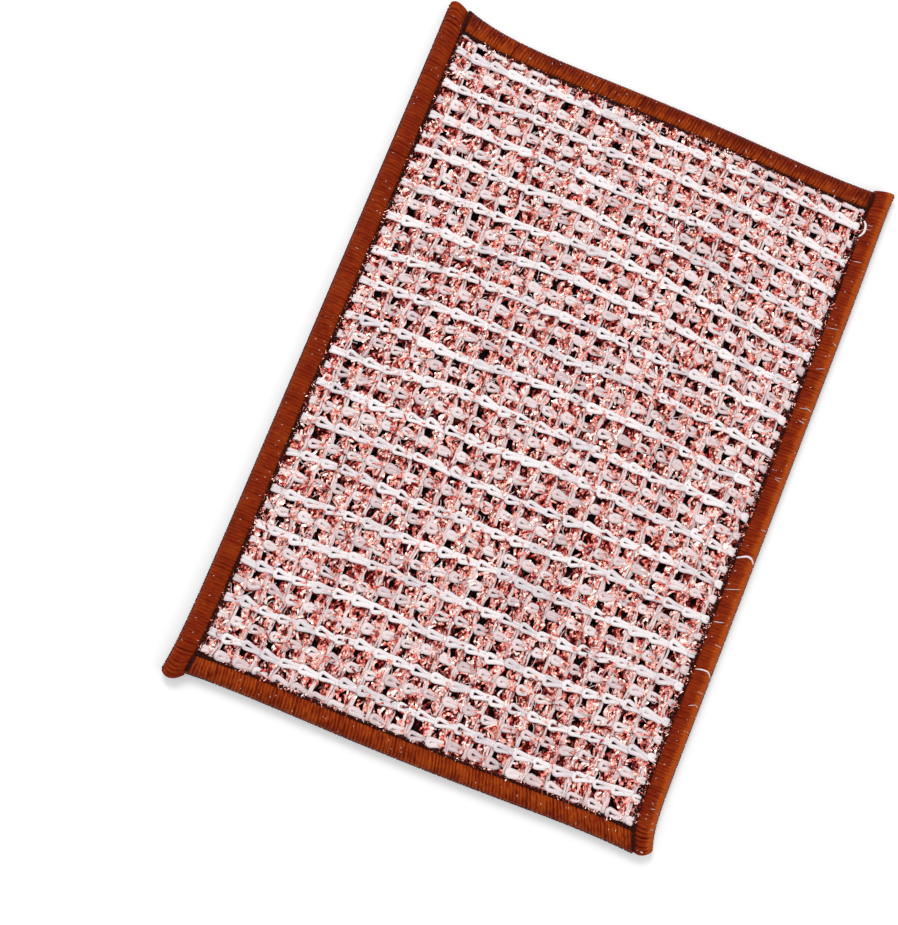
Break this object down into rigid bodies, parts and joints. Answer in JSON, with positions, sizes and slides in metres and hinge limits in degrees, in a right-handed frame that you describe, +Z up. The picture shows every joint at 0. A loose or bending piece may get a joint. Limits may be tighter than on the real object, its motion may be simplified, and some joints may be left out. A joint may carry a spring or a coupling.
{
  "type": "scrubbing cloth",
  "caption": "Oblong double-sided dish cloth with a copper and white scouring net over looped terry, overlocked on all edges.",
  "frame": {"origin": "under the middle of the cloth, on the surface that its terry face lies on", "axes": "+Z up out of the scouring net, +Y along the cloth's length, +X across it"},
  "size_m": [0.1412, 0.2038, 0.0061],
  "materials": {
    "charcoal_terry": "looped microfibre pile",
    "white_yarn": "soft filament yarn",
    "copper_yarn": "metallised flat yarn",
    "rust_thread": "bulked sewing thread",
    "black_thread": "sewing thread"
  },
  "bodies": {
    "root": {"terry_cloth": "charcoal_terry", "chain_net": "white_yarn", "back_chain_01": "white_yarn", "back_chain_02": "white_yarn", "back_chain_03": "white_yarn", "back_chain_04": "white_yarn", "back_chain_05": "white_yarn", "back_chain_06": "white_yarn", "back_chain_07": "white_yarn", "back_chain_08": "white_yarn", "back_chain_09": "white_yarn", "back_chain_10": "white_yarn", "back_chain_11": "white_yarn", "back_chain_12": "white_yarn", "back_chain_13": "white_yarn", "back_chain_14": "white_yarn", "back_chain_15": "white_yarn", "back_chain_16": "white_yarn", "back_chain_17": "white_yarn", "copper_inlay_01": "copper_yarn", "copper_inlay_02": "copper_yarn", "copper_inlay_03": "copper_yarn", "copper_inlay_04": "copper_yarn", "copper_inlay_05": "copper_yarn", "copper_inlay_06": "copper_yarn", "copper_inlay_07": "copper_yarn", "copper_inlay_08": "copper_yarn", "copper_inlay_09": "copper_yarn", "copper_inlay_10": "copper_yarn", "copper_inlay_11": "copper_yarn", "copper_inlay_12": "copper_yarn", "copper_inlay_13": "copper_yarn", "copper_inlay_14": "copper_yarn", "copper_inlay_15": "copper_yarn", "copper_inlay_16": "copper_yarn", "copper_inlay_17": "copper_yarn", "copper_inlay_18": "copper_yarn", "copper_inlay_19": "copper_yarn", "copper_inlay_20": "copper_yarn", "copper_inlay_21": "copper_yarn", "copper_inlay_22": "copper_yarn", "upper_looper_thread_left": "rust_thread", "lower_looper_thread_left": "black_thread", "needle_thread_left": "black_thread", "upper_looper_thread_right": "rust_thread", "lower_looper_thread_right": "black_thread", "needle_thread_right": "black_thread", "upper_looper_thread_top": "rust_thread", "lower_looper_thread_top": "black_thread", "needle_thread_top": "black_thread", "upper_looper_thread_bottom": "rust_thread", "lower_looper_thread_bottom": "black_thread", "needle_thread_bottom": "black_thread"}
  },
  "joints": []
}
